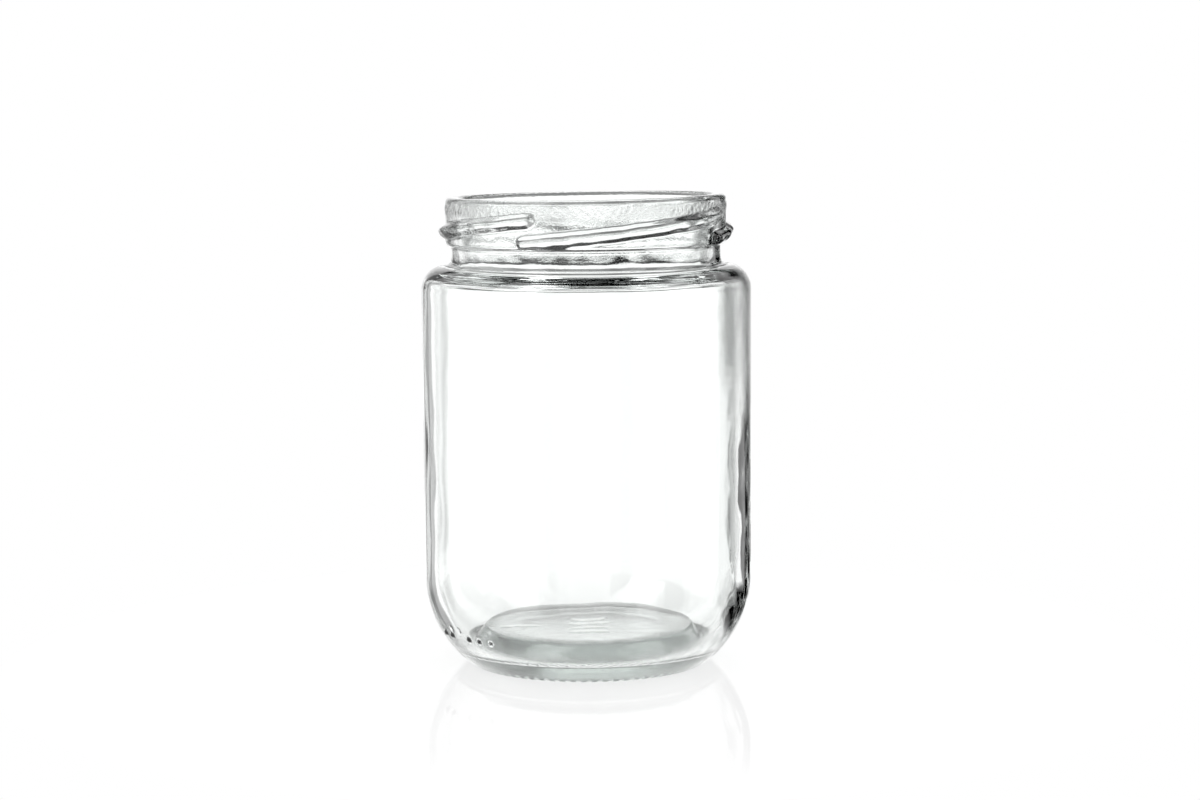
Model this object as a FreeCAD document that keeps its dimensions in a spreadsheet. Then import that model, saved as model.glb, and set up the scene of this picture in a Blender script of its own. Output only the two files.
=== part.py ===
import FreeCAD, Part

import math
import os

import Sketcher

# A twist-off glass jar: one piece of glass with a four-lug finish, a short neck, a rounded shoulder,
# a straight body, a large rounded heel and a push-up base.
#
# The frame has its origin at the middle of the bearing ring that the jar stands on. +Z is up along
# the jar's axis, the front is -Y and +X is on the right. All sizes are in millimetres and degrees.

SIZES = {
    # The whole jar
    "total_height": 103.0,  # bearing ring to sealing lip
    "body_diameter": 72.4,
    "body_wall": 2.6,
    # The finish, which takes the cap, and the neck under it
    "finish_height": 15.0,  # sealing lip to shoulder
    "root_diameter": 61.6,  # between the lugs
    "bore_diameter": 54.5,
    "lip_outer_radius": 1.1,
    "lip_inner_radius": 1.3,
    "bead_depth": 10.6,  # sealing lip to the underside of the bead
    "neck_diameter": 59.2,
    "neck_fillet": 0.9,
    "neck_inner_radius": 3.0,
    # The lugs, each a short stretch of a right-hand thread
    "lug_count": 4,
    "lug_start": -24.5,  # angle of the first lug's low end from +X
    "lug_span": 91.0,
    "lug_depth": 8.85,  # sealing lip to the middle of a lug's low end
    "lug_rise": 4.8,
    "lug_protrusion": 1.5,
    "lug_flank": 43.0,  # slope of a flank from the radial direction
    "lug_crest_radius": 0.7,
    "lug_seat": 0.4,  # how far a lug's root lies inside the wall
    # The shoulder
    "shoulder_radius": 5.5,
    "shoulder_wall": 2.8,
    "shoulder_inner_radius": 2.9,
    # The heel and the base
    "heel_radius": 24.3,
    "heel_inset": 10.5,  # body side to the outer edge of the bearing ring
    "heel_corner": 1.5,
    "heel_thickening": 0.7,  # how much the glass gains on the body wall at the heel
    "channel_thickness": 4.6,  # bearing ring to the channel round the floor inside
    "channel_fillet": 2.5,
    "floor_thickness": 7.9,  # bearing ring to the raised middle of the floor
    "floor_inset": 10.8,  # body side to the foot of the raised middle
    "floor_slope": 2.4,  # width of the slope up to the raised middle
    "bearing_width": 1.3,
    "push_up_edge": 1.0,  # width of the slope inside the bearing ring
    "push_up_step": 0.9,  # height of that slope
    "push_up_height": 2.2,
}

START, END, CENTRE = 1, 2, 3  # the sketcher's numbers for the points of an edge
ORIGIN = (-1, START)
UPRIGHT = FreeCAD.Vector(0, 1, 0)  # the jar's axis, in a sketch's own directions
EDGE_MATCH = 0.01  # how near an edge's measures must be to those it is found by

doc = FreeCAD.newDocument("twist_off_jar")


def make_sheet():
    """The spreadsheet of driving dimensions, one row for each, with its name as the alias."""
    sheet = doc.addObject("Spreadsheet::Sheet", "sizes")
    for row, (name, value) in enumerate(SIZES.items(), start=1):
        sheet.set(f"A{row}", name)
        sheet.set(f"B{row}", str(value))
        sheet.setAlias(f"B{row}", name)
    doc.recompute()
    return sheet


class Outline:
    """A closed outline in a sketch on the body's XZ plane, drawn edge by edge.

    Sketch x is the distance from the jar's axis and sketch y is the height. Each edge starts where
    the last one ended, and every size is bound to the sheet.
    """

    def __init__(self, body, name, start):
        self.sketch = body.newObject("Sketcher::SketchObject", name)
        planes = [item for item in body.Origin.OriginFeatures if item.Role == "XZ_Plane"]
        self.sketch.AttachmentSupport = [(planes[0], "")]
        self.sketch.MapMode = "FlatFace"
        self.first = None
        self.last = None
        self.here = FreeCAD.Vector(*start)

    def place(self, turn, height):
        """Turns the sketch about the jar's axis and lifts it, by expressions."""
        self.sketch.AttachmentOffset = FreeCAD.Placement(FreeCAD.Vector(), FreeCAD.Rotation(UPRIGHT, 1))
        self.sketch.setExpression("AttachmentOffset.Rotation.Angle", f"({turn}) * 1 deg")
        self.sketch.setExpression("AttachmentOffset.Base.y", height)

    def add(self, curve, start, end, tangent):
        edge = self.sketch.addGeometry(curve, False)
        if self.last is None:
            self.first = (edge, start)
        else:
            joint = "Tangent" if tangent else "Coincident"
            self.sketch.addConstraint(Sketcher.Constraint(joint, *self.last, edge, start))
        self.last = (edge, end)
        return edge

    def line(self, x, y, tangent=False):
        """A straight edge to (x, y), kept level or upright if it is drawn so."""
        target = FreeCAD.Vector(x, y)
        step = target - self.here
        edge = self.add(Part.LineSegment(self.here, target), START, END, tangent)
        if abs(step.y) < 1e-9:
            self.sketch.addConstraint(Sketcher.Constraint("Horizontal", edge))
        elif abs(step.x) < 1e-9:
            self.sketch.addConstraint(Sketcher.Constraint("Vertical", edge))
        self.here = target
        return edge

    def arc(self, x, y, from_angle, to_angle, tangent=True):
        """An arc about (x, y) from the present point, between two angles in degrees."""
        centre = FreeCAD.Vector(x, y)
        radius = (self.here - centre).Length
        circle = Part.Circle(centre, FreeCAD.Vector(0, 0, 1), radius)
        low, high = sorted((math.radians(from_angle), math.radians(to_angle)))
        ends = (START, END) if to_angle > from_angle else (END, START)
        edge = self.add(Part.ArcOfCircle(circle, low, high), *ends, tangent)
        turned = math.radians(to_angle)
        self.here = centre + FreeCAD.Vector(math.cos(turned), math.sin(turned)) * radius
        return edge

    def close(self):
        """A last straight edge back to the start."""
        start = self.sketch.getPoint(*self.first)
        edge = self.line(start.x, start.y)
        self.sketch.addConstraint(Sketcher.Constraint("Coincident", edge, END, *self.first))
        return edge

    def bind(self, kind, expression, *points):
        """A measured constraint that takes its value from the sheet."""
        value = float(self.sketch.evalExpression(expression))
        index = self.sketch.addConstraint(Sketcher.Constraint(kind, *points, value))
        self.sketch.setExpression(f"Constraints[{index}]", expression)

    def out(self, edge, point, expression):
        self.bind("DistanceX", expression, *ORIGIN, edge, point)

    def up(self, edge, point, expression):
        self.bind("DistanceY", expression, *ORIGIN, edge, point)

    def radius(self, edge, expression):
        self.bind("Radius", expression, edge)

    def on_axis(self, edge, point):
        self.sketch.addConstraint(Sketcher.Constraint("PointOnObject", edge, point, -2))

    def at_origin(self, edge, point):
        self.sketch.addConstraint(Sketcher.Constraint("Coincident", edge, point, *ORIGIN))


def heel_turn(size):
    """Angle that the outer heel turns through, in degrees, before the corner at the bearing ring."""
    inward = size.heel_radius - size.heel_inset
    return math.degrees(math.acos(inward / (size.heel_radius - size.heel_corner)))


def revolve(body, kind, name, outline, axis="V_Axis", turn=360, backwards=False):
    """An outline turned about one of its sketch's axes, by default all the way round the jar's."""
    feature = body.newObject(kind, name)
    feature.Profile = outline.sketch
    feature.ReferenceAxis = (outline.sketch, [axis])
    feature.Angle = turn
    feature.Reversed = backwards
    doc.recompute()
    return feature


def outer_form(body, size):
    """The jar's outside, as a solid with a flat top and a flat base."""
    body_radius = size.body_diameter / 2
    ring = body_radius - size.heel_inset
    turn = heel_turn(size)
    heel_rise = (size.heel_radius - size.heel_corner) * math.sin(math.radians(turn))
    heel_top = heel_rise + size.heel_corner
    shoulder = size.total_height - size.finish_height
    bead = size.total_height - size.bead_depth
    neck = size.neck_diameter / 2
    root = size.root_diameter / 2

    outline = Outline(body, "outer_outline", (0, 0))
    base = outline.line(ring, 0)
    corner = outline.arc(ring, size.heel_corner, -90, -turn)
    heel = outline.arc(body_radius - size.heel_radius, heel_top, -turn, 0)
    side = outline.line(body_radius, shoulder - size.shoulder_radius, tangent=True)
    rounding = outline.arc(body_radius - size.shoulder_radius, shoulder - size.shoulder_radius, 0, 90)
    shelf = outline.line(neck + size.neck_fillet, shoulder, tangent=True)
    fillet = outline.arc(neck + size.neck_fillet, shoulder + size.neck_fillet, 270, 180)
    collar = outline.line(neck, bead, tangent=True)
    underside = outline.arc(neck, bead + root - neck, -90, 0, tangent=False)
    wall = outline.line(root, size.total_height, tangent=True)
    outline.line(0, size.total_height)
    outline.close()

    outline.at_origin(base, START)
    outline.out(base, END, "sizes.body_diameter / 2 - sizes.heel_inset")
    outline.radius(corner, "sizes.heel_corner")
    outline.radius(heel, "sizes.heel_radius")
    outline.out(side, END, "sizes.body_diameter / 2")
    outline.radius(rounding, "sizes.shoulder_radius")
    outline.up(shelf, END, "sizes.total_height - sizes.finish_height")
    outline.radius(fillet, "sizes.neck_fillet")
    outline.out(collar, END, "sizes.neck_diameter / 2")
    outline.up(underside, START, "sizes.total_height - sizes.bead_depth")
    outline.out(underside, CENTRE, "sizes.neck_diameter / 2")
    outline.out(wall, END, "sizes.root_diameter / 2")
    outline.up(wall, END, "sizes.total_height")
    return revolve(body, "PartDesign::Revolution", "outer_form", outline)


def lug_points(size):
    """Radius of a lug's root line, radius of its crest's centre and half the height of its root."""
    root = size.root_diameter / 2 - size.lug_seat
    centre = size.root_diameter / 2 + size.lug_protrusion - size.lug_crest_radius
    flank = math.radians(size.lug_flank)
    half = size.lug_crest_radius / math.cos(flank) + (centre - root) * math.tan(flank)
    return root, centre, half


ROOT_OUT = "sizes.root_diameter / 2 - sizes.lug_seat"
CREST_OUT = "sizes.root_diameter / 2 + sizes.lug_protrusion - sizes.lug_crest_radius"
ROOT_HALF = (
    "sizes.lug_crest_radius / cos(sizes.lug_flank * 1 deg)"
    " + (sizes.lug_protrusion - sizes.lug_crest_radius + sizes.lug_seat) * tan(sizes.lug_flank * 1 deg)"
)
LUG_LOW = "sizes.total_height - sizes.lug_depth"


def lug_section(body, size):
    """The lug's cross-section: two flanks and a round crest, about the sketch's own x axis."""
    root, centre, half = lug_points(size)
    flank_end = 90 - size.lug_flank
    outline = Outline(body, "lug_outline", (root, -half))
    outline.place("sizes.lug_start", LUG_LOW)
    crest_start = (
        centre + size.lug_crest_radius * math.cos(math.radians(flank_end)),
        -size.lug_crest_radius * math.sin(math.radians(flank_end)),
    )
    lower = outline.line(*crest_start)
    crest = outline.arc(centre, 0, -flank_end, flank_end)
    upper = outline.line(root, half, tangent=True)
    outline.close()

    outline.radius(crest, "sizes.lug_crest_radius")
    outline.out(crest, CENTRE, CREST_OUT)
    outline.sketch.addConstraint(Sketcher.Constraint("PointOnObject", crest, CENTRE, -1))
    outline.out(lower, START, ROOT_OUT)
    outline.bind("DistanceY", ROOT_HALF, lower, START, *ORIGIN)
    outline.up(upper, END, ROOT_HALF)
    return outline


def lug_end(body, size, name, turn, height, backwards):
    """A lug's rounded end: the upper half of its section, turned half round the radial line through it."""
    root, centre, half = lug_points(size)
    outline = Outline(body, name + "_outline", (root, 0))
    outline.place(turn, height)
    middle = outline.line(centre + size.lug_crest_radius, 0)
    crest = outline.arc(centre, 0, 0, 90 - size.lug_flank, tangent=False)
    flank = outline.line(root, half, tangent=True)
    outline.close()

    outline.out(middle, START, ROOT_OUT)
    outline.sketch.addConstraint(Sketcher.Constraint("PointOnObject", middle, START, -1))
    outline.radius(crest, "sizes.lug_crest_radius")
    outline.out(crest, CENTRE, CREST_OUT)
    outline.sketch.addConstraint(Sketcher.Constraint("PointOnObject", crest, CENTRE, -1))
    outline.up(flank, END, ROOT_HALF)
    return revolve(body, "PartDesign::Revolution", name, outline, "H_Axis", 180, backwards)


def thread_lugs(body, size, axis_sketch):
    """One lug with its two rounded ends, repeated round the finish."""
    section = lug_section(body, size)
    lug = body.newObject("PartDesign::AdditiveHelix", "lug")
    lug.Profile = section.sketch
    lug.ReferenceAxis = (section.sketch, ["V_Axis"])
    lug.Mode = "height-turns-angle"
    lug.setExpression("Height", "sizes.lug_rise")
    lug.setExpression("Turns", "sizes.lug_span / 360")
    doc.recompute()

    low = lug_end(body, size, "lug_low_end", "sizes.lug_start", LUG_LOW, False)
    high_turn = "sizes.lug_start + sizes.lug_span"
    high = lug_end(body, size, "lug_high_end", high_turn, LUG_LOW + " + sizes.lug_rise", True)

    lugs = body.newObject("PartDesign::PolarPattern", "lugs")
    lugs.Originals = [lug, low, high]
    lugs.Axis = (axis_sketch, ["V_Axis"])
    lugs.Angle = 360
    lugs.setExpression("Occurrences", "sizes.lug_count")
    body.Tip = lugs
    doc.recompute()
    return lugs


def cavity(body, size):
    """The space inside the jar, from the floor to the mouth."""
    bore = size.bore_diameter / 2
    inner = size.body_diameter / 2 - size.body_wall
    ceiling = size.total_height - size.finish_height - size.shoulder_wall
    heel_rise = (size.heel_radius - size.heel_corner) * math.sin(math.radians(heel_turn(size)))
    heel_top = heel_rise + size.heel_corner
    heel_radius = size.heel_radius - size.body_wall - size.heel_thickening
    drop = heel_top - size.channel_thickness - size.channel_fillet
    fillet_turn = math.degrees(math.asin(drop / (heel_radius - size.channel_fillet)))
    fillet_out = inner - heel_radius + math.sqrt((heel_radius - size.channel_fillet) ** 2 - drop**2)
    foot = size.body_diameter / 2 - size.floor_inset

    outline = Outline(body, "cavity_outline", (0, size.total_height))
    mouth = outline.line(bore, size.total_height)
    throat = outline.line(bore, ceiling + size.neck_inner_radius)
    knee = outline.arc(bore + size.neck_inner_radius, ceiling + size.neck_inner_radius, 180, 270)
    shelf = outline.line(inner - size.shoulder_inner_radius, ceiling, tangent=True)
    rounding = outline.arc(inner - size.shoulder_inner_radius, ceiling - size.shoulder_inner_radius, 90, 0)
    side = outline.line(inner, heel_top, tangent=True)
    heel = outline.arc(inner - heel_radius, heel_top, 0, -fillet_turn)
    fillet = outline.arc(fillet_out, size.channel_thickness + size.channel_fillet, -fillet_turn, -90)
    channel = outline.line(foot, size.channel_thickness, tangent=True)
    slope = outline.line(foot - size.floor_slope, size.floor_thickness)
    outline.line(0, size.floor_thickness)
    outline.close()

    outline.on_axis(mouth, START)
    outline.up(mouth, START, "sizes.total_height")
    outline.out(throat, END, "sizes.bore_diameter / 2")
    outline.radius(knee, "sizes.neck_inner_radius")
    outline.up(shelf, END, "sizes.total_height - sizes.finish_height - sizes.shoulder_wall")
    outline.radius(rounding, "sizes.shoulder_inner_radius")
    outline.out(side, END, "sizes.body_diameter / 2 - sizes.body_wall")
    outline.up(
        side,
        END,
        "sqrt((sizes.heel_radius - sizes.heel_corner) ^ 2 - (sizes.heel_radius - sizes.heel_inset) ^ 2)"
        " + sizes.heel_corner",
    )
    outline.radius(heel, "sizes.heel_radius - sizes.body_wall - sizes.heel_thickening")
    outline.radius(fillet, "sizes.channel_fillet")
    outline.up(channel, END, "sizes.channel_thickness")
    outline.out(channel, END, "sizes.body_diameter / 2 - sizes.floor_inset")
    outline.out(slope, END, "sizes.body_diameter / 2 - sizes.floor_inset - sizes.floor_slope")
    outline.up(slope, END, "sizes.floor_thickness")
    return revolve(body, "PartDesign::Groove", "cavity", outline)


def push_up(body, size):
    """The hollow under the base, which leaves the bearing ring standing round it."""
    edge = size.body_diameter / 2 - size.heel_inset - size.bearing_width
    rim = edge - size.push_up_edge
    crown = size.push_up_height - size.push_up_step
    dome_radius = (rim**2 + crown**2) / (2 * crown)
    rim_angle = math.degrees(math.acos(rim / dome_radius))

    outline = Outline(body, "push_up_outline", (0, 0))
    base = outline.line(edge, 0)
    slope = outline.line(rim, size.push_up_step)
    dome = outline.arc(0, size.push_up_height - dome_radius, rim_angle, 90, tangent=False)
    outline.close()

    outline.at_origin(base, START)
    outline.out(base, END, "sizes.body_diameter / 2 - sizes.heel_inset - sizes.bearing_width")
    outline.bind("DistanceX", "sizes.push_up_edge", slope, END, slope, START)
    outline.up(slope, END, "sizes.push_up_step")
    outline.on_axis(dome, CENTRE)
    outline.up(dome, END, "sizes.push_up_height")
    return revolve(body, "PartDesign::Groove", "push_up", outline)


def round_lip(body, size, name, diameter, radius_name):
    """Rounds the circular edge of that diameter at the top of the jar."""
    base = body.Tip
    for number, edge in enumerate(base.Shape.Edges, start=1):
        box = edge.BoundBox
        at_top = abs(box.ZMin - size.total_height) < EDGE_MATCH and box.ZLength < EDGE_MATCH
        if at_top and abs(box.XLength - diameter) < EDGE_MATCH:
            fillet = body.newObject("PartDesign::Fillet", name)
            fillet.Base = (base, [f"Edge{number}"])
            fillet.setExpression("Radius", "sizes." + radius_name)
            doc.recompute()
            return fillet
    raise RuntimeError(f"no edge of diameter {diameter} at the lip")


def check_document():
    """Stops the build if an object failed to recompute."""
    for item in doc.Objects:
        if "Invalid" in item.State or "Error" in item.State:
            raise RuntimeError(f"{item.Name} failed: {item.State}")


def check_cut(name, before, after):
    """Stops the build if a cut took nothing away."""
    if after > before - 1:
        raise RuntimeError(f"{name} cut nothing")


def make_jar(size):
    """The jar, as one body."""
    body = doc.addObject("PartDesign::Body", "glass_jar")
    body.Label = "glass_jar"
    blank = outer_form(body, size)
    lugs = thread_lugs(body, size, blank.Profile[0])
    if lugs.Shape.Volume < blank.Shape.Volume + 1:
        raise RuntimeError("the lugs added nothing")
    hollow = cavity(body, size)
    check_cut("cavity", lugs.Shape.Volume, hollow.Shape.Volume)
    based = push_up(body, size)
    check_cut("push_up", hollow.Shape.Volume, based.Shape.Volume)
    round_lip(body, size, "lip_outside", size.root_diameter, "lip_outer_radius")
    round_lip(body, size, "lip_inside", size.bore_diameter, "lip_inner_radius")
    body.Placement = FreeCAD.Placement()
    return body


def export(body):
    """Checks the body's shape and writes it to parts/, named by its label."""
    shape = body.Shape
    if shape.isNull() or not shape.isValid() or len(shape.Solids) != 1:
        raise RuntimeError(f"{body.Label} is not one valid solid")
    os.makedirs("parts", exist_ok=True)
    shape.exportStep(f"parts/{body.Label}.step")
    box = shape.BoundBox
    print(f"{body.Label}: {shape.Volume / 1000:.2f} cm3, {box.XLength:.2f} x {box.YLength:.2f} x {box.ZLength:.2f} mm")


class Sizes:
    """The sheet's values by name, for first positions in the sketches."""

    def __init__(self, sheet):
        for name in SIZES:
            setattr(self, name, float(sheet.get(name)))


jar = make_jar(Sizes(make_sheet()))
doc.recompute()
check_document()
export(jar)
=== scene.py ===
"""The looks of the twist-off glass jar: one piece of glass on a pale studio floor.

Lengths are in metres, and MM turns millimetres into them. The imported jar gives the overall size. The
glass is modelled again here as one closed surface turned round the axis, with its lugs, bead, knurled
bearing ring, heel dots, base marks, mould seams and the slight waves of pressed and blown glass.
"""

import math

import bpy
import numpy as np
from mathutils import Euler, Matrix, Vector


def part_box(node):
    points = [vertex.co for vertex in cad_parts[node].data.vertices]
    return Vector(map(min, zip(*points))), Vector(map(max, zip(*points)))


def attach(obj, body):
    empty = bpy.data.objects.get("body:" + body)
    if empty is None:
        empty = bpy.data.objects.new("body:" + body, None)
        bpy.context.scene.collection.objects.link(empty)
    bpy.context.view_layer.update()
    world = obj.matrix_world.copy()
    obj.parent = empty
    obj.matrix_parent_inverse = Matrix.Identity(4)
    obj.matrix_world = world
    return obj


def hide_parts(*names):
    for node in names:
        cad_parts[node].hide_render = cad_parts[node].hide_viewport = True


MM = 0.001
JAR = "glass_jar"

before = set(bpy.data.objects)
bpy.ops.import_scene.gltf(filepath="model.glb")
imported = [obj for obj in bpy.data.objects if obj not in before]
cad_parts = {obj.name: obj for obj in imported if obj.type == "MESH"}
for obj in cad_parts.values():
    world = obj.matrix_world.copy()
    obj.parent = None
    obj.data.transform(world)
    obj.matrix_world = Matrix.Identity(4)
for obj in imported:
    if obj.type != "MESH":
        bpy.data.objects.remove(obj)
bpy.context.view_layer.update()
jar_low, jar_high = (Vector(corner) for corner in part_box(JAR))
HEIGHT = jar_high.z - jar_low.z
BODY = (jar_high.x - jar_low.x) / 2

# The finish
ROOT = 30.8 * MM  # the wall between the lugs
BORE = 27.25 * MM
NECK = 29.6 * MM
BEAD_DEPTH = 10.6 * MM  # from the lip to the underside of the bead
BEAD_FILLET = 0.4 * MM
BEAD_ROUNDING = ROOT - NECK - BEAD_FILLET
LIP_OUTER = 1.1 * MM
LIP_INNER = 1.3 * MM
RIM_SLANT = (0.3 * MM, 0.12 * MM)  # the mouth is a little higher on the right
# The shoulder
SHOULDER = HEIGHT - 15 * MM
SHOULDER_RADIUS = 5.5 * MM
NECK_FILLET = 1.5 * MM
CEILING = SHOULDER - 3.3 * MM
KNEE_RADIUS = 4.6 * MM
SHOULDER_INNER_RADIUS = 1.7 * MM
# The body, the heel and the base
WALL = 2.6 * MM
HEEL_RADIUS = 24.3 * MM
HEEL_INNER_RADIUS = 21.0 * MM
HEEL_CORNER = 1.5 * MM
RING_OUTER = BODY - 10.5 * MM
RING_INNER = RING_OUTER - 1.3 * MM
CHANNEL = 4.6 * MM
CHANNEL_FILLET = 2.5 * MM
FLOOR = 7.9 * MM
FLOOR_FOOT = BODY - 10.4 * MM
FLOOR_SLOPE = 3.2 * MM
FLOOR_STEPS = 9
PUSH_UP_EDGE = 1.0 * MM
PUSH_UP_STEP = 0.9 * MM
PUSH_UP = 2.2 * MM
HEEL_TURN = math.acos((HEEL_RADIUS - (BODY - RING_OUTER)) / (HEEL_RADIUS - HEEL_CORNER))
HEEL_TOP = (HEEL_RADIUS - HEEL_CORNER) * math.sin(HEEL_TURN) + HEEL_CORNER

# The lugs: four right-hand threads, each a quarter of the way round
LUG_COUNT = 4
LUG_START = -24.2  # degrees
LUG_SPAN = 90.0  # degrees
LUG_DEPTH = 8.85 * MM
LUG_RISE = 4.8 * MM
LUG_HEIGHT = 1.5 * MM
LUG_HALF_ABOVE = 1.35 * MM
LUG_HALF_BELOW = 1.95 * MM
LUG_ROUNDING = 0.5 * MM
LUG_TAPER = 0.9
# The knurls, short bars that the jar stands on
KNURLS = 72
KNURL_DEPTH = 0.55 * MM
KNURL_FLANK = 0.16  # of the distance from bar to bar
KNURL_FLAT = 0.35
KNURL_INSIDE = (RING_INNER - 0.5 * MM, 0.4 * MM)  # where a recess starts, and the width of its end
KNURL_OUTSIDE = (RING_OUTER + 1.0 * MM, 0.5 * MM)
# The mould's marks
HEEL_DOTS = (-38.8, -44.6, -50.4, -62.0, -67.8)  # degrees round from the front
DOT_HEIGHT = 8.5 * MM
DOT_HALF = (0.6 * MM, 0.65 * MM)  # across and up
DOT_FOOT = 1.25  # where a dot's side ends, as a share of its half size
DOT_BAND = 1.1 * MM  # the rows lie close together this far above and below the dots
DOT_RELIEF = 0.5 * MM
SEAMS = (3.0, 183.0)  # degrees
SEAM_RELIEF = 0.05 * MM
SEAM_HALF = 0.5 * MM
MARK_RELIEF = 0.6 * MM
MARK_FOOT = 1.6  # where a mark's side ends, as a share of its half width
MARK_BARS = (-6.0 * MM, -2.0 * MM, 2.0 * MM, 6.0 * MM)
MARK_BAR_HALVES = (3.4 * MM, 2.7 * MM)  # half lengths of the long and short bars in turn
MARK_BAR_WIDTH = 0.6 * MM
MARK_DOTS = (-13.0 * MM, -15.2 * MM, -17.4 * MM)
MARK_DOT_WIDTH = 0.7 * MM

COLUMNS = 7 * KNURLS  # round the outside and the lip; the inside has half as many
MIDDLE = 1 * MM  # the smallest ring of the base and of the floor

# Waves in the glass: height, seed, fewest and most round the jar, shortest and longest along it, count
RIPPLES = {
    "lug": (0.05, 29, (8, 40), (4 * MM, 12 * MM), 40),  # its height is a share of the lug's
    "finish": (0.008 * MM, 3, (10, 60), (3 * MM, 12 * MM), 40),
    "stipple": (0.05 * MM, 31, (60, 210), (1.2 * MM, 5 * MM), 90),
    "body": (0.02 * MM, 5, (2, 14), (15 * MM, 60 * MM), 40),
    "under": (0.01 * MM, 7, (3, 20), (4 * MM, 12 * MM), 40),
    "bore": (0.012 * MM, 9, (6, 40), (3 * MM, 15 * MM), 40),
    "knee": (0.03 * MM, 37, (10, 45), (2 * MM, 6 * MM), 40),
    "inner": (0.05 * MM, 13, (2, 9), (25 * MM, 90 * MM), 40),
    "inner_fine": (0.008 * MM, 17, (8, 30), (6 * MM, 30 * MM), 40),
    "right_side": (0.035 * MM, 23, (10, 50), (4 * MM, 14 * MM), 40),
    "floor": (0.012 * MM, 19, (2, 6), (8 * MM, 30 * MM), 40),
}
STIPPLE_BAND = (HEIGHT - 2.6 * MM, 0.9 * MM)  # middle and half height
KNEE_BAND = (CEILING + 4.5 * MM, 2.2 * MM)
RIGHT_SIDE = (5, 32)  # middle and half width, in degrees
CALM_MIDDLE = 8 * MM  # the base and the floor lose their waves inside this radius
CALM_LOW = (10 * MM, 25 * MM)  # the inside's broad waves grow from here up, over this height
CALM_SHARE = 0.3  # what is left of them below


# ---------------------------------------------------------------- outline


def smooth_step(value):
    value = np.clip(value, 0, 1)
    return value * value * (3 - 2 * value)


def arc(centre_r, centre_z, radius, start, end, count):
    """Points of an arc in the (r, z) plane, angles in degrees, without its first point."""
    angles = np.radians(np.linspace(start, end, count + 1)[1:])
    return [(centre_r + radius * math.cos(a), centre_z + radius * math.sin(a)) for a in angles]


def run(start, end, count):
    """Evenly spaced points of a straight run, without its first point."""
    return [tuple(np.array(start) + (np.array(end) - start) * k / count) for k in range(1, count + 1)]


def heel_turn_at(z):
    """The angle of the outer heel's arc at a height, in degrees."""
    return math.degrees(math.asin((z - HEEL_TOP) / HEEL_RADIUS))


def outer_rows():
    """The outside from the middle of the push-up to the top of the lip, as (r, z, part)."""
    rim = RING_INNER - PUSH_UP_EDGE
    crown = PUSH_UP - PUSH_UP_STEP
    dome_radius = (rim**2 + crown**2) / (2 * crown)
    dome_z = PUSH_UP - dome_radius
    dome = [(r, dome_z + math.sqrt(dome_radius**2 - r**2)) for r in np.linspace(MIDDLE, rim, 24)]
    parts = [("under", dome)]
    parts.append(("ring", run(dome[-1], (RING_INNER, 0), 5)))
    parts.append(("ring", run((RING_INNER, 0), (RING_OUTER, 0), 5)))

    turn = math.degrees(HEEL_TURN)
    parts.append(("ring", arc(RING_OUTER, HEEL_CORNER, HEEL_CORNER, -90, -turn, 4)))
    turns = (-turn, heel_turn_at(DOT_HEIGHT - DOT_BAND), heel_turn_at(DOT_HEIGHT + DOT_BAND), 0)
    for start, end, count in zip(turns, turns[1:], (7, 9, 9)):
        parts.append(("heel", arc(BODY - HEEL_RADIUS, HEEL_TOP, HEEL_RADIUS, start, end, count)))

    shoulder_low = SHOULDER - SHOULDER_RADIUS
    fillet_r = NECK + NECK_FILLET
    parts.append(("side", run((BODY, HEEL_TOP), (BODY, shoulder_low), 9)))
    parts.append(("shoulder", arc(BODY - SHOULDER_RADIUS, shoulder_low, SHOULDER_RADIUS, 0, 90, 12)))
    parts.append(("shoulder", run((BODY - SHOULDER_RADIUS, SHOULDER), (fillet_r, SHOULDER), 1)))
    parts.append(("neck", arc(fillet_r, SHOULDER + NECK_FILLET, NECK_FILLET, 270, 180, 5)))

    bead_r = NECK + BEAD_FILLET
    bead_low = HEIGHT - BEAD_DEPTH
    bead_top = bead_low + BEAD_ROUNDING
    neck_top = bead_low - BEAD_FILLET
    lip_low = HEIGHT - LIP_OUTER
    parts.append(("neck", run((NECK, SHOULDER + NECK_FILLET), (NECK, neck_top), 4)))
    parts.append(("neck", arc(bead_r, neck_top, BEAD_FILLET, 180, 90, 2)))
    parts.append(("bead", arc(bead_r, bead_top, BEAD_ROUNDING, -90, 0, 5)))
    parts.append(("finish", run((ROOT, bead_top), (ROOT, lip_low), 38)))
    parts.append(("lip", arc(ROOT - LIP_OUTER, lip_low, LIP_OUTER, 0, 90, 6)))
    return [(r, z, name) for name, points in parts for r, z in points]


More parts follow.
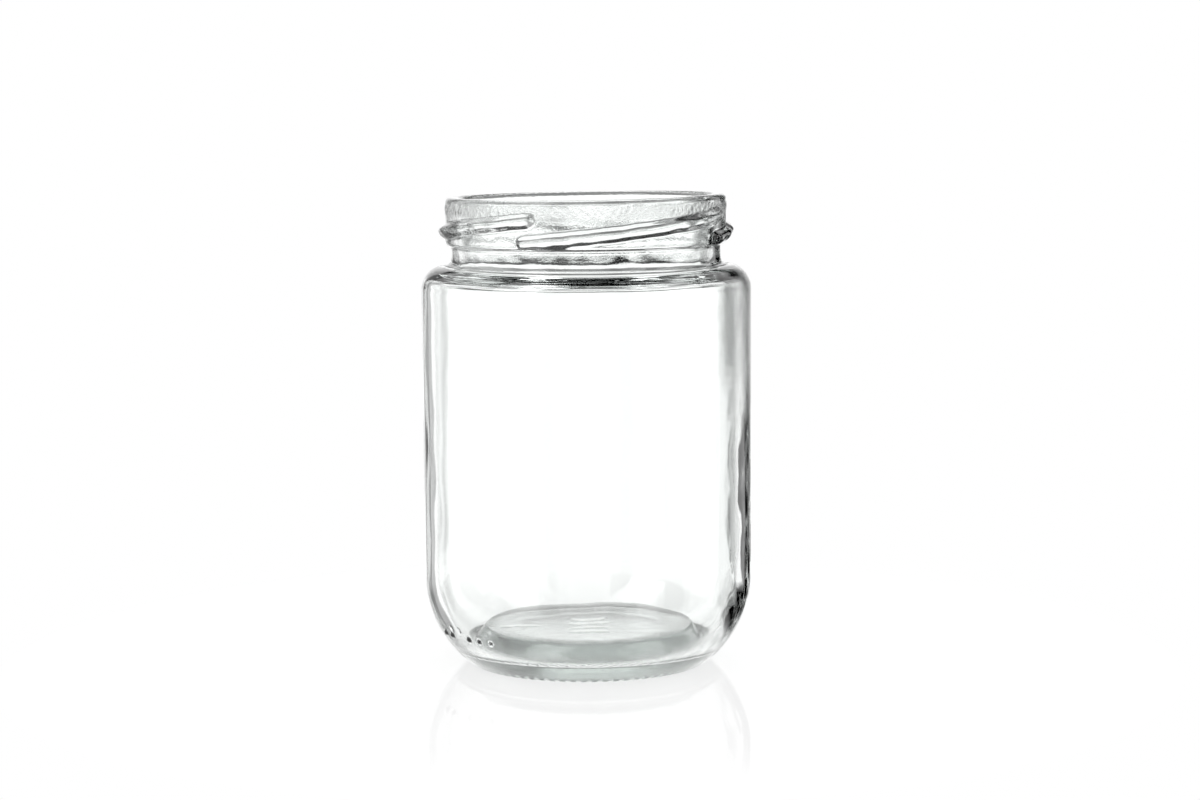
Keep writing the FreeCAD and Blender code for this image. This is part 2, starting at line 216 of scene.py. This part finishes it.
def inner_rows():
    """The inside from the top of the lip to the middle of the floor, as (r, z, part)."""
    lip_r = BORE + LIP_INNER
    parts = [("lip", run((ROOT - LIP_OUTER, HEIGHT), (lip_r, HEIGHT), 2))]
    parts.append(("lip", arc(lip_r, HEIGHT - LIP_INNER, LIP_INNER, 90, 180, 6)))
    knee_r = BORE + KNEE_RADIUS
    knee_z = CEILING + KNEE_RADIUS
    parts.append(("bore", run((BORE, HEIGHT - LIP_INNER), (BORE, knee_z), 12)))
    parts.append(("inner", arc(knee_r, knee_z, KNEE_RADIUS, 180, 270, 8)))

    inner = BODY - WALL
    round_r = inner - SHOULDER_INNER_RADIUS
    round_z = CEILING - SHOULDER_INNER_RADIUS
    parts.append(("inner", run((knee_r, CEILING), (round_r, CEILING), 1)))
    parts.append(("inner", arc(round_r, round_z, SHOULDER_INNER_RADIUS, 90, 0, 8)))
    parts.append(("inner", run((inner, round_z), (inner, HEEL_TOP), 22)))

    drop = HEEL_TOP - CHANNEL - CHANNEL_FILLET
    reach = HEEL_INNER_RADIUS - CHANNEL_FILLET
    turn = math.degrees(math.asin(drop / reach))
    heel_r = inner - HEEL_INNER_RADIUS
    fillet_r = heel_r + math.sqrt(reach**2 - drop**2)
    parts.append(("inner", arc(heel_r, HEEL_TOP, HEEL_INNER_RADIUS, 0, -turn, 12)))
    parts.append(("inner", arc(fillet_r, CHANNEL + CHANNEL_FILLET, CHANNEL_FILLET, -turn, -90, 6)))

    climb = FLOOR - CHANNEL
    shares = [step / FLOOR_STEPS for step in range(FLOOR_STEPS + 1)]
    slope = [(FLOOR_FOOT - FLOOR_SLOPE * k, CHANNEL + climb * float(smooth_step(k))) for k in shares]
    parts.append(("floor", slope))
    parts.append(("floor", run(slope[-1], (MIDDLE, FLOOR), 5)))
    return [(r, z, name) for name, points in parts for r, z in points]


def normals(rows):
    """Unit normals of an outline, pointing out of the glass."""
    points = np.array([(r, z) for r, z, _ in rows])
    along = np.gradient(points, axis=0)
    along /= np.linalg.norm(along, axis=1)[:, None]
    return np.stack([along[:, 1], -along[:, 0]], axis=1)


# ---------------------------------------------------------------- relief


def soft_max(a, b, width):
    """The larger of a and b, rounded where they meet."""
    gap = np.abs(a - b)
    return np.maximum(a, b) + np.clip(width - gap, 0, None) ** 2 / (4 * width)


def angle_from(theta, centre):
    """The angle from centre to theta, in degrees from -180 to 180."""
    return (np.degrees(theta) - centre + 180) % 360 - 180


def band(value, middle, half):
    """1 at the middle of a band, fading smoothly to 0 on both sides."""
    return np.exp(-(((value - middle) / half) ** 2))


def ripple(theta, along, name):
    """Smooth random waves round and along the jar, about as high as the named ripple says."""
    height, seed, turns, lengths, count = RIPPLES[name]
    draw = np.random.default_rng(seed)
    total = np.zeros(np.broadcast(theta, along).shape)
    for _ in range(count):
        number = draw.integers(turns[0], turns[1] + 1)
        length = draw.uniform(*lengths)
        phase, _ = draw.uniform(0, 2 * math.pi, 2)
        tilt = draw.choice((-1, 1))
        total += np.cos(number * theta * tilt + 2 * math.pi * along / length + phase)
    return height * total / math.sqrt(count / 2)


def lug_relief(theta, z):
    """How far the nearest lug stands out of the finish."""
    relief = np.zeros_like(theta)
    for number in range(LUG_COUNT):
        middle = LUG_START + number * 360 / LUG_COUNT + LUG_SPAN / 2
        along = angle_from(theta, middle)
        inside = np.clip(along, -LUG_SPAN / 2, LUG_SPAN / 2)
        past = np.radians(along - inside) * ROOT * LUG_TAPER
        centre = HEIGHT - LUG_DEPTH + LUG_RISE * (inside / LUG_SPAN + 0.5)
        half = np.where(z > centre, LUG_HALF_ABOVE, LUG_HALF_BELOW)
        away = np.hypot((z - centre) / half, past / LUG_HALF_BELOW)
        raised = LUG_HEIGHT * (1 + ripple(theta, z, "lug") - away**2)
        relief = np.maximum(relief, soft_max(raised, 0 * raised, LUG_ROUNDING))
    return relief


def knurl_relief(theta, r):
    """Recesses between the short bars that the jar stands on."""
    place = (theta * KNURLS / (2 * math.pi)) % 1
    bar = smooth_step((0.5 - np.abs(place - 0.5)) / KNURL_FLANK - KNURL_FLAT)
    inside = smooth_step((r - KNURL_INSIDE[0]) / KNURL_INSIDE[1])
    outside = smooth_step((KNURL_OUTSIDE[0] - r) / KNURL_OUTSIDE[1])
    return -KNURL_DEPTH * (1 - bar) * inside * outside


def dot_relief(theta, z):
    """Small raised dots of the mould's code, low on the heel."""
    relief = np.zeros_like(theta)
    for turn in HEEL_DOTS:
        across = np.radians(angle_from(theta, turn - 90)) * BODY / DOT_HALF[0]
        up = (z - DOT_HEIGHT) / DOT_HALF[1]
        relief = np.maximum(relief, DOT_RELIEF * smooth_step(DOT_FOOT - np.hypot(across, up)))
    return relief


def seam_relief(theta, r):
    """The thin raised lines where the mould's halves met."""
    relief = np.zeros_like(theta)
    for turn in SEAMS:
        across = np.abs(np.radians(angle_from(theta, turn)) * r)
        relief = np.maximum(relief, SEAM_RELIEF * smooth_step(1 - across / (2 * SEAM_HALF)))
    return relief


def mark_relief(x, y):
    """Plain raised bars and a row of dots under the base, where a mould is numbered."""
    relief = np.zeros_like(x)
    for number, offset in enumerate(MARK_BARS):
        past = np.clip(np.abs(x) - MARK_BAR_HALVES[number % 2], 0, None)
        away = np.hypot(past, y - offset)
        relief = np.maximum(relief, smooth_step(MARK_FOOT - away / MARK_BAR_WIDTH))
    for offset in MARK_DOTS:
        away = np.hypot(x - offset, y)
        relief = np.maximum(relief, smooth_step(MARK_FOOT - away / MARK_DOT_WIDTH))
    return MARK_RELIEF * relief


# ---------------------------------------------------------------- the glass mesh


def row_relief(r, z, part, theta):
    """How far one row moves out of its outline, along its normal."""
    if part in ("finish", "bead"):
        return ripple(theta, z, "finish") + band(z, *STIPPLE_BAND) * ripple(theta, z, "stipple")
    if part == "heel":
        return ripple(theta, z, "body") + seam_relief(theta, r) + dot_relief(theta, np.full_like(theta, z))
    if part in ("side", "shoulder"):
        return ripple(theta, z, "body") + seam_relief(theta, r)
    if part == "under":
        marks = mark_relief(r * np.cos(theta), r * np.sin(theta))
        return marks + ripple(theta, r, "under") * smooth_step(r / CALM_MIDDLE)
    if part == "bore":
        return ripple(theta, z, "bore") + band(z, *KNEE_BAND) * ripple(theta, z, "knee")
    if part == "inner":
        broad = CALM_SHARE + (1 - CALM_SHARE) * smooth_step((z - CALM_LOW[0]) / CALM_LOW[1])
        right = band(angle_from(theta, RIGHT_SIDE[0]), 0, RIGHT_SIDE[1])
        waves = broad * ripple(theta, z, "inner") + ripple(theta, z, "inner_fine")
        return waves + right * ripple(theta, z, "right_side")
    if part == "floor":
        return ripple(theta, r, "floor") * smooth_step(r / CALM_MIDDLE)
    return np.zeros_like(theta)


def ring_points(r, z, part, normal, theta):
    """One row of the glass: its outline point turned round the axis, with its relief."""
    outwards = row_relief(r, z, part, theta)
    turned_r = np.full_like(theta, r)
    turned_z = np.full_like(theta, z)
    if part in ("finish", "bead"):
        turned_r += lug_relief(theta, turned_z)
    if part == "neck":
        turned_r += np.clip(lug_relief(theta, turned_z) - (ROOT - NECK), 0, None)
    if part == "ring":
        turned_z -= knurl_relief(theta, turned_r)
    slant = smooth_step((z - SHOULDER) / (HEIGHT - SHOULDER))
    lean = np.cos(theta) * r / ROOT
    turned_z += slant * (RIM_SLANT[0] * lean + RIM_SLANT[1] * lean**2)
    turned_r += normal[0] * outwards
    turned_z += normal[1] * outwards
    return np.stack([turned_r * np.cos(theta), turned_r * np.sin(theta), turned_z], axis=1)


def joining_faces(first, second, count, next_count):
    """Faces from one row to the next, which has as many points or half as many."""
    faces = []
    for column in range(next_count):
        after = (column + 1) % next_count
        if count == next_count:
            faces.append((first + column, first + after, second + after, second + column))
            continue
        left = first + 2 * column
        right = first + (2 * column + 2) % count
        faces.append((left, left + 1, second + column))
        faces.append((left + 1, second + after, second + column))
        faces.append((left + 1, right, second + after))
    return faces


def glass_mesh():
    """The whole jar as one closed mesh: rows round the axis, closed by a point at each middle."""
    rows = outer_rows() + inner_rows()
    vertices = []
    starts = []
    sizes = []
    for (r, z, part), normal in zip(rows, normals(rows)):
        count = COLUMNS // 2 if part in ("bore", "inner", "floor") else COLUMNS
        theta = np.arange(count) * 2 * math.pi / count
        starts.append(sum(sizes))
        sizes.append(count)
        vertices.append(ring_points(r, z, part, normal, theta))
    vertices.append(np.array([[0, 0, rows[0][1]], [0, 0, rows[-1][1]]]))

    faces = []
    for low in range(len(rows) - 1):
        faces += joining_faces(starts[low], starts[low + 1], sizes[low], sizes[low + 1])
    under_middle = sum(sizes)
    floor_middle = under_middle + 1
    for column in range(sizes[0]):
        faces.append((under_middle, starts[0] + (column + 1) % sizes[0], starts[0] + column))
    for column in range(sizes[-1]):
        faces.append((floor_middle, starts[-1] + column, starts[-1] + (column + 1) % sizes[-1]))
    mesh = bpy.data.meshes.new(JAR + "_glass")
    mesh.from_pydata(np.concatenate(vertices).tolist(), [], faces)
    mesh.validate()
    mesh.shade_smooth()
    return mesh


# ---------------------------------------------------------------- materials


class Nodes:
    """A node tree that starts empty, with short ways to add to it."""

    def __init__(self, tree):
        self.tree = tree
        tree.nodes.clear()

    def feed(self, socket, value):
        """Links a socket to another one, or sets it to a number or colour."""
        if isinstance(value, bpy.types.NodeSocket):
            self.tree.links.new(value, socket)
        else:
            socket.default_value = value

    def add(self, kind, inputs=None, **settings):
        node = self.tree.nodes.new("ShaderNode" + kind)
        for name, value in settings.items():
            setattr(node, name, value)
        for name, value in (inputs or {}).items():
            self.feed(node.inputs[name], value)
        return node

    def maths(self, operation, *values):
        node = self.add("Math", operation=operation)
        for socket, value in zip(node.inputs, values):
            self.feed(socket, value)
        return node.outputs["Value"]

    def product(self, first, *others):
        for other in others:
            first = self.maths("MULTIPLY", first, other)
        return first

    def less(self, value):
        """What the value leaves of 1."""
        return self.maths("SUBTRACT", 1, value)

    def ramp(self, value, start, end, low=0.0, high=1.0):
        """low before start and high after end, where end may be the smaller."""
        limits = {"From Min": start, "From Max": end, "To Min": low, "To Max": high}
        return self.add("MapRange", {"Value": value, **limits}).outputs["Result"]

    def blend(self, share, first, second):
        """The first shader where the share is 0 and the second where it is 1."""
        return self.add("MixShader", {"Fac": share, 1: first, 2: second}).outputs["Shader"]

    def bent_rays(self, path):
        """1 for rays that glass bends or mirrors, and 0 for the camera's own."""
        return self.maths("MAXIMUM", path.outputs["Is Glossy Ray"], path.outputs["Is Transmission Ray"])


def new_material(name):
    material = bpy.data.materials.new(name)
    material.use_nodes = True
    return material, Nodes(material.node_tree)


WHITE = (1, 1, 1, 1)
# How strong the fine bump is at each height in millimetres: most round the base and under the lip
SKIN = (
    (0.6, 0.02),
    (0.9, 0.3),
    (2.4, 0.3),
    (3.0, 0.03),
    (4.4, 0.1),
    (8.2, 0.1),
    (9.5, 0.006),
    (88.5, 0.006),
    (90.0, 0.05),
    (98.5, 0.05),
    (99.5, 0.3),
    (101.3, 0.3),
    (101.8, 0.04),
)
SKIN_ENDS = 0.03
SKIN_GRAIN = 2400
SKIN_DEPTH = 0.25 * MM
MOTTLE = 0.5  # bump on the right edge of the body, from the middle up
MOTTLE_SIDE = (31 * MM, 34.5 * MM)
MOTTLE_HEIGHT = (50 * MM, 70 * MM)
BASE_ROUGHNESS = 0.06
RING_ROUGHNESS = 0.03
ROUGH_REACH = (RING_INNER - 0.6 * MM, RING_INNER - 0.2 * MM)
ROUGH_HEIGHT = (2.8 * MM, 3.5 * MM)
GLASS_IOR = 1.52
FAINT_GREEN = (0.985, 1.0, 0.992, 1)
DEPTH_COLOUR = (0.5, 0.78, 0.66, 1)
DEPTH_DENSITY = 6
SHADOW_COLOUR = (0.86, 0.87, 0.865, 1)


def glass_material():
    """Clear flint glass with a faint green depth, a fine skin and a slightly rough base."""
    material, nodes = new_material("clear_glass")
    place = nodes.add("TexCoord").outputs["Object"]
    split = nodes.add("SeparateXYZ", {"Vector": place})
    across, up = split.outputs["X"], split.outputs["Z"]

    grain = nodes.add("TexNoise", {"Vector": place, "Scale": SKIN_GRAIN, "Detail": 3}).outputs["Fac"]
    skin = nodes.add("ValToRGB", {"Fac": nodes.maths("DIVIDE", up, HEIGHT)})
    for stop in skin.color_ramp.elements:
        stop.color = (SKIN_ENDS, SKIN_ENDS, SKIN_ENDS, 1)
    for height, level in SKIN:
        stop = skin.color_ramp.elements.new(height * MM / HEIGHT)
        stop.color = (level, level, level, 1)
    mottle = nodes.ramp(across, *MOTTLE_SIDE, high=MOTTLE)
    strength = nodes.maths("MULTIPLY_ADD", mottle, nodes.ramp(up, *MOTTLE_HEIGHT), skin.outputs["Color"])
    bump = nodes.add("Bump", {"Distance": SKIN_DEPTH, "Strength": strength, "Height": grain})

    reach = nodes.add("VectorMath", {0: place}, operation="LENGTH").outputs["Value"]
    frost = nodes.ramp(reach, *ROUGH_REACH, BASE_ROUGHNESS, RING_ROUGHNESS)
    roughness = nodes.product(frost, nodes.ramp(up, *ROUGH_HEIGHT, 1, 0))

    tint = nodes.add("Mix", data_type="RGBA")
    nodes.feed(tint.inputs["Factor"], grain)
    nodes.feed(tint.inputs["A"], FAINT_GREEN)
    nodes.feed(tint.inputs["B"], WHITE)
    glass = nodes.add("BsdfPrincipled", {"Transmission Weight": 1.0, "IOR": GLASS_IOR, "Base Color": WHITE})
    nodes.feed(glass.inputs["Base Color"], tint.outputs["Result"])
    nodes.feed(glass.inputs["Roughness"], roughness)
    nodes.feed(glass.inputs["Normal"], bump.outputs["Normal"])

    shadow_ray = nodes.add("LightPath").outputs["Is Shadow Ray"]
    clear = nodes.add("BsdfTransparent", {"Color": SHADOW_COLOUR})
    surface = nodes.blend(shadow_ray, glass.outputs["BSDF"], clear.outputs["BSDF"])
    depth = nodes.add("VolumeAbsorption", {"Color": DEPTH_COLOUR, "Density": DEPTH_DENSITY})
    nodes.add("OutputMaterial", {"Surface": surface, "Volume": depth.outputs["Volume"]})
    return material


FLOOR_RADIUS = 140 * MM
FLOOR_SIDES = 96
FLOOR_DROP = 0.02 * MM  # below the jar, so that the two surfaces don't lie in one plane
FLOOR_COLOUR = (0.9, 0.9, 0.9, 1)
FLOOR_WHITE = 0.8  # the share of plain white in the sheet; the rest is lit and keeps the shadow
FLOOR_FADE = (90 * MM, 130 * MM)  # where the shadow and the mirror fade to plain white
MIRROR_ROUGHNESS = 0.02
MIRROR_IOR = 1.1
MIRROR_SHARE = 1.1
# What rays that the glass bends see of the sheet
BENT_HALVES = (-3 * MM, 3 * MM)  # from the front half to the back half
BENT_SPREAD = -0.33
BENT_BESIDE = (34.5 * MM, 37 * MM)  # the back half ends here, beside the jar
BENT_FRONT = (60 * MM, 70 * MM)  # the front half ends here
BENT_LEVEL = (0.92, 1.18)  # near the jar and far from it: painted shade, dimmer close to the jar
BENT_RISE = (35 * MM, 112 * MM)
GLINT = 0.8  # a painted glint: a bright ring in front, just outside the bearing ring
GLINT_INNER = (25.9 * MM, 27 * MM)
GLINT_OUTER = (34 * MM, 30 * MM)
GLINT_FRONT = (5 * MM, -5 * MM)
CONTACT_SHADE_INNER = (23.0 * MM, 23.8 * MM)  # painted dark shade, a toothed ring where the back of the jar stands
CONTACT_SHADE_OUTER = (30.0 * MM, 29.4 * MM)
CONTACT_SHADE_BACK = (-4 * MM, 4 * MM)
CONTACT_SHADE_TEETH = 0.5 * MM


def floor_material():
    """A white glossy sheet: white where nothing stands on it, with a faint mirror of the jar.

    Rays that the glass bends or mirrors see a painted glow in its place, dimmer near the jar, with a
    painted glint in front and a painted dark shade ring under the back of the bearing ring. Beside the
    jar and far in front of it they pass through the sheet to the world.
    """
    material, nodes = new_material("white_sheet")
    place = nodes.add("TexCoord").outputs["Object"]
    distance = nodes.add("VectorMath", {0: place}, operation="LENGTH").outputs["Value"]
    split = nodes.add("SeparateXYZ", {"Vector": place})
    across, back = split.outputs["X"], split.outputs["Y"]
    path = nodes.add("LightPath")
    bent = nodes.bent_rays(path)
    seen = nodes.maths("MAXIMUM", path.outputs["Is Camera Ray"], bent)

    beside = nodes.maths("MULTIPLY_ADD", back, BENT_SPREAD, nodes.maths("ABSOLUTE", across))
    behind = nodes.ramp(back, *BENT_HALVES)
    aside = nodes.product(nodes.ramp(beside, *BENT_BESIDE), behind)
    in_front = nodes.product(nodes.ramp(distance, *BENT_FRONT), nodes.less(behind))
    gone = nodes.product(bent, nodes.maths("MAXIMUM", aside, in_front))

    # Painted for bent rays only: a toothed ring of dark shade, a bright glint, a glow dimmer near the jar
    teeth = nodes.maths("SINE", nodes.product(nodes.maths("ARCTAN2", back, across), KNURLS))
    toothed = nodes.maths("MULTIPLY_ADD", teeth, CONTACT_SHADE_TEETH, distance)
    contact_shade = nodes.product(nodes.ramp(distance, *CONTACT_SHADE_INNER), nodes.ramp(toothed, *CONTACT_SHADE_OUTER))
    contact_shade = nodes.product(contact_shade, nodes.ramp(back, *CONTACT_SHADE_BACK))
    glint = nodes.product(nodes.ramp(distance, *GLINT_INNER), nodes.ramp(distance, *GLINT_OUTER))
    glint = nodes.product(glint, nodes.ramp(back, *GLINT_FRONT))
    level = nodes.ramp(distance, *BENT_RISE, *BENT_LEVEL)
    level = nodes.maths("MULTIPLY_ADD", glint, GLINT, level)
    bright = nodes.product(bent, level, nodes.less(contact_shade))
    glow = nodes.add("Emission", {"Strength": nodes.maths("ADD", bright, nodes.less(bent))})

    far = nodes.ramp(distance, *FLOOR_FADE)
    far = nodes.maths("MAXIMUM", far, nodes.product(bent, contact_shade))
    matt = nodes.add("BsdfDiffuse", {"Color": FLOOR_COLOUR})
    share = nodes.maths("MAXIMUM", nodes.product(seen, FLOOR_WHITE), far)
    white = nodes.blend(share, matt.outputs["BSDF"], glow.outputs["Emission"])
    mirror = nodes.add("BsdfGlossy", {"Roughness": MIRROR_ROUGHNESS})
    grazing = nodes.add("Fresnel", {"IOR": MIRROR_IOR}).outputs["Fac"]
    mirrored = nodes.product(grazing, MIRROR_SHARE, nodes.less(far))
    sheen = nodes.blend(mirrored, white, mirror.outputs["BSDF"])
    through = nodes.add("BsdfTransparent")
    nodes.add("OutputMaterial", {"Surface": nodes.blend(gone, sheen, through.outputs["BSDF"])})
    return material


# ---------------------------------------------------------------- stage, light and camera

# What bent and mirrored rays see all round, in degrees. A turn is from the right, with 90 behind the
# jar, a height is above the level, and off_axis is from the nearest of front, back, left and right.
# Depths and levels are shares of white.
QUARTER = 45
PANEL_LEVEL = 1.18
GAP_START = (13.5, 15.5)  # off_axis, where an upright dark gap between two panels starts
GAP_END = (35, 37)
GAP_TOP = (27, 23)
GAP_FAINT = (20, 24)  # a gap is fainter before this, most of all on the left
GAP_FAINTNESS = (-0.9, 0.5)  # its change towards the right, and its value in the middle
GAP_DEPTH = (0.4, 0.85)
ABOVE = (20, 23)  # dark from here up, apart from the openings
CORNER_TOP = (50, 46)
OPENING = ((20, 23), (58, 54))  # to either side of straight behind
OPENING_TOP = (56, 52)
BELOW = (-11.5, -14)  # dark from here down, behind the jar
BELOW_TURNS = ((126, 118), (28, 36))
BELOW_DEPTH = (0.6, 0.78)


def make_world():
    """White to the camera. Bent and mirrored rays see white panels with dark gaps between them."""
    world = bpy.data.worlds.new("studio")
    bpy.context.scene.world = world
    world.use_nodes = True
    nodes = Nodes(world.node_tree)
    place = nodes.add("TexCoord").outputs["Generated"]
    split = nodes.add("SeparateXYZ", {"Vector": place})
    right = split.outputs["X"]
    turn = nodes.maths("ARCTAN2", split.outputs["Y"], right)
    rise = nodes.maths("ARCSINE", split.outputs["Z"])

    def ramp(value, limits):
        return nodes.ramp(value, *(math.radians(limit) for limit in limits))

    def by_side(slope, middle):
        return nodes.maths("MULTIPLY_ADD", right, slope, middle)

    def shade(light, mask, depth):
        return nodes.product(light, nodes.less(nodes.product(mask, depth)))

    off_axis = nodes.maths("PINGPONG", turn, math.radians(QUARTER))
    corner = ramp(off_axis, GAP_END)
    gap = nodes.product(ramp(off_axis, GAP_START), nodes.less(corner), ramp(rise, GAP_TOP))
    faint = nodes.product(nodes.less(ramp(off_axis, GAP_FAINT)), by_side(*GAP_FAINTNESS))
    gap_depth = nodes.product(by_side(*GAP_DEPTH), nodes.less(faint))

    aside = nodes.maths("ABSOLUTE", nodes.maths("SUBTRACT", turn, math.radians(90)))
    opening = nodes.product(*(ramp(aside, limits) for limits in OPENING), ramp(rise, OPENING_TOP))
    opening = nodes.maths("MAXIMUM", nodes.product(corner, ramp(rise, CORNER_TOP)), opening)
    above = nodes.product(ramp(rise, ABOVE), nodes.less(opening))
    below = nodes.product(ramp(rise, BELOW), *(ramp(turn, limits) for limits in BELOW_TURNS))

    light = shade(PANEL_LEVEL, gap, nodes.maths("MINIMUM", gap_depth, 1))
    light = shade(light, above, 1)
    light = shade(light, below, nodes.maths("MINIMUM", by_side(*BELOW_DEPTH), 1))
    bent = nodes.bent_rays(nodes.add("LightPath"))
    strength = nodes.maths("ADD", nodes.product(bent, light), nodes.less(bent))
    background = nodes.add("Background", {"Color": WHITE, "Strength": strength})
    nodes.add("OutputWorld", {"Surface": background.outputs["Background"]})


def make_lamp(name, place, size, power):
    """A soft rectangular lamp that faces the middle of the jar."""
    lamp = bpy.data.lights.new(name, "AREA")
    lamp.shape = "RECTANGLE"
    lamp.size, lamp.size_y = size
    lamp.energy = power
    holder = bpy.data.objects.new(name, lamp)
    holder.location = place
    facing = Vector((0, 0, HEIGHT / 2)) - Vector(place)
    holder.rotation_euler = facing.to_track_quat("-Z", "Y").to_euler()
    bpy.context.collection.objects.link(holder)


def make_floor():
    """A round sheet for the jar to stand on."""
    mesh = bpy.data.meshes.new("studio_floor")
    turns = [2 * math.pi * number / FLOOR_SIDES for number in range(FLOOR_SIDES)]
    corners = [(FLOOR_RADIUS * math.cos(a), FLOOR_RADIUS * math.sin(a), 0) for a in turns]
    mesh.from_pydata(corners, [], [tuple(range(FLOOR_SIDES))])
    floor = bpy.data.objects.new("studio_floor", mesh)
    floor.location.z = jar_low.z - FLOOR_DROP
    bpy.context.collection.objects.link(floor)
    mesh.materials.append(floor_material())


CAMERA_BACK = 595.7 * MM
CAMERA_UP = 122.9 * MM
CAMERA_DOWN = 6.23  # degrees
CAMERA_TURN = 0.275  # degrees to the right of the jar's axis
CAMERA_ROLL = 0.4  # degrees
CAMERA_LENS = 81.35
CAMERA_SENSOR = 36


def make_camera():
    camera = bpy.data.cameras.new("camera")
    camera.lens = CAMERA_LENS
    camera.sensor_width = CAMERA_SENSOR
    camera.clip_start = 10 * MM
    holder = bpy.data.objects.new("camera", camera)
    holder.location = (0, -CAMERA_BACK, jar_low.z + CAMERA_UP)
    level = Euler((math.radians(90 - CAMERA_DOWN), 0, math.radians(-CAMERA_TURN))).to_quaternion()
    roll = Euler((0, 0, math.radians(-CAMERA_ROLL))).to_quaternion()
    holder.rotation_euler = (level @ roll).to_euler()
    bpy.context.collection.objects.link(holder)
    bpy.context.scene.camera = holder


def make_glass():
    glass = bpy.data.objects.new("jar_glass", glass_mesh())
    bpy.context.collection.objects.link(glass)
    glass.data.materials.append(glass_material())
    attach(glass, "root")
    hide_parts(JAR)


bpy.context.scene.view_settings.view_transform = "Standard"
make_camera()
make_world()
make_floor()
make_lamp("key_lamp", place=(-0.7, -0.5, 0.9), size=(0.7, 0.9), power=6)
make_lamp("fill_lamp", place=(0.8, -0.2, 0.6), size=(0.5, 0.9), power=3)
make_glass()
bpy.context.view_layer.update()
